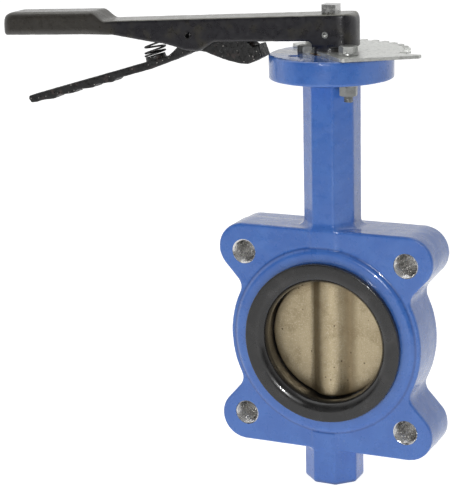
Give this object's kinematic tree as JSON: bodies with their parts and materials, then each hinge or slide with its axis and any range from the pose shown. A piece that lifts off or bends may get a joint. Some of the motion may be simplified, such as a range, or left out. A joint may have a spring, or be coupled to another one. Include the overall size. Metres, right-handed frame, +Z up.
{
  "type": "lug butterfly valve",
  "caption": "Lug-style butterfly valve, closed: square-lugged cast body, rubber seat, ribbed disc, tall neck, notched plate and a squeeze-lever handle.",
  "frame": {"origin": "centre of the disc, which is also the centre of the lug-hole circle, halfway between the two seat faces", "axes": "+Z up along the stem towards the handle; Y along the pipe, with the front face towards -Y; the closed valve's handle points along -X"},
  "size_m": [0.2998, 0.0974, 0.306],
  "materials": {
    "painted_casting": "gloss",
    "seat_rubber": "satin",
    "disc_bronze": "fine cast",
    "stem_steel": "machined",
    "bearing_bronze": "satin",
    "spring_steel": "satin",
    "zinc_steel": "zinc plated",
    "black_lever": "gloss",
    "black_casting": "rough black"
  },
  "bodies": {
    "valve_body": {"body": "painted_casting", "seat": "seat_rubber", "upper_bushing": "bearing_bronze", "middle_bushing": "bearing_bronze", "lower_bushing": "bearing_bronze", "stem_packing": "seat_rubber", "stem_wiper": "seat_rubber", "thrust_washer": "bearing_bronze", "retainer_screw": "zinc_steel", "notch_plate": "zinc_steel", "plate_bolts": "zinc_steel", "plate_washers": "zinc_steel", "plate_nuts": "zinc_steel"},
    "rotor": {"stem": "stem_steel", "disc": "disc_bronze", "stem_circlip": "spring_steel", "lever": "black_lever", "lever_set_screw": "stem_steel", "pivot_pin": "spring_steel", "trigger_spring": "spring_steel"},
    "squeeze_trigger": {"trigger": "black_casting"}
  },
  "joints": [
    {"name": "stem_turn", "type": "hinge", "parent": "valve_body", "child": "rotor", "pos_m": [0, 0, 0], "axis": [0, 0, 1], "range_deg": [0, 90]},
    {"name": "trigger_squeeze", "type": "hinge", "parent": "rotor", "child": "squeeze_trigger", "pos_m": [-0.092, 0, 0.1884], "axis": [0, 1, 0], "range_deg": [0, 17], "stiffness_Nm_per_rad": 0.6, "springref_deg": -11.46, "deforming": ["trigger_spring"]}
  ]
}
